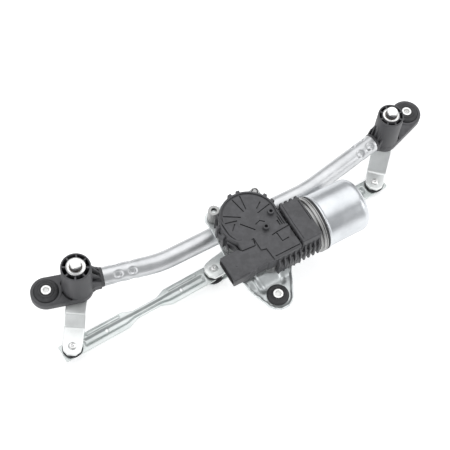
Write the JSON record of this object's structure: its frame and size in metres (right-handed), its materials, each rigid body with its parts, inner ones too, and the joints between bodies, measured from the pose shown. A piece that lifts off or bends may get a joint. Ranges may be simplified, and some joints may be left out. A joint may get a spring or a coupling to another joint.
{
  "type": "windshield wiper assembly",
  "caption": "Windshield wiper linkage: spindle housings on a steel tube, a worm-gear motor with crank, link rods and levers that swing both wiper spindles.",
  "frame": {"origin": "centre of the foot bolt sleeve at its lower end face, where it seats on the car body", "axes": "+X from the left spindle to the right spindle, +Z along the spindles towards the wiper arms, +Y away from the foot"},
  "size_m": [0.5284, 0.1728, 0.1025],
  "materials": {
    "zinc_plated_steel": "bright zinc plating",
    "nickel_plated_steel": "bright nickel plating",
    "cast_aluminium": "as cast, sand-blasted",
    "black_plastic": "glass-filled, satin",
    "rubber": "matt",
    "brass": "bright",
    "copper": "bright copper",
    "sintered_bronze": "sintered, oiled",
    "ferrite": "pressed ferrite",
    "circuit_board": "solder resist",
    "white_acetal": "moulded"
  },
  "bodies": {
    "frame": {"frame_tube": "zinc_plated_steel", "motor_bracket": "zinc_plated_steel", "left_pivot_housing": "black_plastic", "right_pivot_housing": "black_plastic", "left_ear_grommet": "rubber", "right_ear_grommet": "rubber", "foot_grommet": "rubber", "left_ear_sleeve": "nickel_plated_steel", "right_ear_sleeve": "nickel_plated_steel", "foot_sleeve": "nickel_plated_steel", "left_upper_bush": "sintered_bronze", "left_lower_bush": "sintered_bronze", "right_upper_bush": "sintered_bronze", "right_lower_bush": "sintered_bronze", "gear_housing": "cast_aluminium", "gear_cover": "black_plastic", "brush_cover": "black_plastic", "control_board": "circuit_board", "connector_pin_1": "brass", "connector_pin_2": "brass", "connector_pin_3": "brass", "connector_pin_4": "brass", "motor_can": "zinc_plated_steel", "can_seal": "rubber", "front_magnet": "ferrite", "rear_magnet": "ferrite", "brush_plate": "black_plastic", "upper_brush": "copper", "lower_brush": "copper", "can_bearing": "sintered_bronze", "worm_shaft_bearing": "sintered_bronze", "motor_screw_1": "zinc_plated_steel", "motor_screw_2": "zinc_plated_steel", "motor_screw_3": "zinc_plated_steel"},
    "armature": {"armature_shaft": "nickel_plated_steel", "armature_core": "copper", "commutator": "copper"},
    "crank": {"output_shaft": "nickel_plated_steel", "worm_wheel": "white_acetal", "motor_crank": "zinc_plated_steel", "crank_pin": "nickel_plated_steel", "crank_nut": "zinc_plated_steel"},
    "left_arm": {"left_spindle": "nickel_plated_steel", "left_top_washer": "nickel_plated_steel", "left_lever": "zinc_plated_steel", "left_lever_ball_pin": "nickel_plated_steel"},
    "right_arm": {"right_spindle": "nickel_plated_steel", "right_top_washer": "nickel_plated_steel", "right_lever": "zinc_plated_steel", "right_lever_ball_pin": "nickel_plated_steel"},
    "left_rod": {"left_link_rod": "zinc_plated_steel", "left_outer_socket": "black_plastic", "left_inner_socket": "black_plastic", "left_crank_ball": "nickel_plated_steel"},
    "right_rod": {"right_link_rod": "zinc_plated_steel", "right_outer_socket": "black_plastic", "right_inner_socket": "black_plastic", "right_crank_ball": "nickel_plated_steel"}
  },
  "joints": [
    {"name": "armature_spin", "type": "hinge", "parent": "frame", "child": "armature", "pos_m": [0.008, 0.0525, 0.0215], "axis": [1, 0, 0], "range_deg": [0, 7500]},
    {"name": "crank_turn", "type": "hinge", "parent": "frame", "child": "crank", "pos_m": [0.008, 0.082, 0], "axis": [0, 0, 1], "range_deg": [0, 125]},
    {"name": "left_lever_swing", "type": "hinge", "parent": "frame", "child": "left_arm", "pos_m": [-0.188, 0.122, 0], "axis": [0, 0, 1], "range_deg": [0, 73.94]},
    {"name": "right_lever_swing", "type": "hinge", "parent": "frame", "child": "right_arm", "pos_m": [0.228, 0.122, 0], "axis": [0, 0, 1], "range_deg": [0, 102.67]},
    {"name": "left_rod_turn", "type": "hinge", "parent": "left_arm", "child": "left_rod", "pos_m": [-0.22351, 0.06732, -0.0302], "axis": [0, 0, 1], "range_deg": [-83.53, 0]},
    {"name": "right_rod_turn", "type": "hinge", "parent": "right_arm", "child": "right_rod", "pos_m": [0.19682, 0.08737, -0.0411], "axis": [0, 0, 1], "range_deg": [-93.4, 0]}
  ],
  "couplings": [
    {"joint": "crank_turn", "follows": "armature_spin", "ratio": 0.016667},
    {"joint": "left_lever_swing", "follows": "armature_spin", "ratio": 0.0098585},
    {"joint": "right_lever_swing", "follows": "armature_spin", "ratio": 0.01369},
    {"joint": "left_rod_turn", "follows": "armature_spin", "ratio": -0.011137},
    {"joint": "right_rod_turn", "follows": "armature_spin", "ratio": -0.012454}
  ]
}
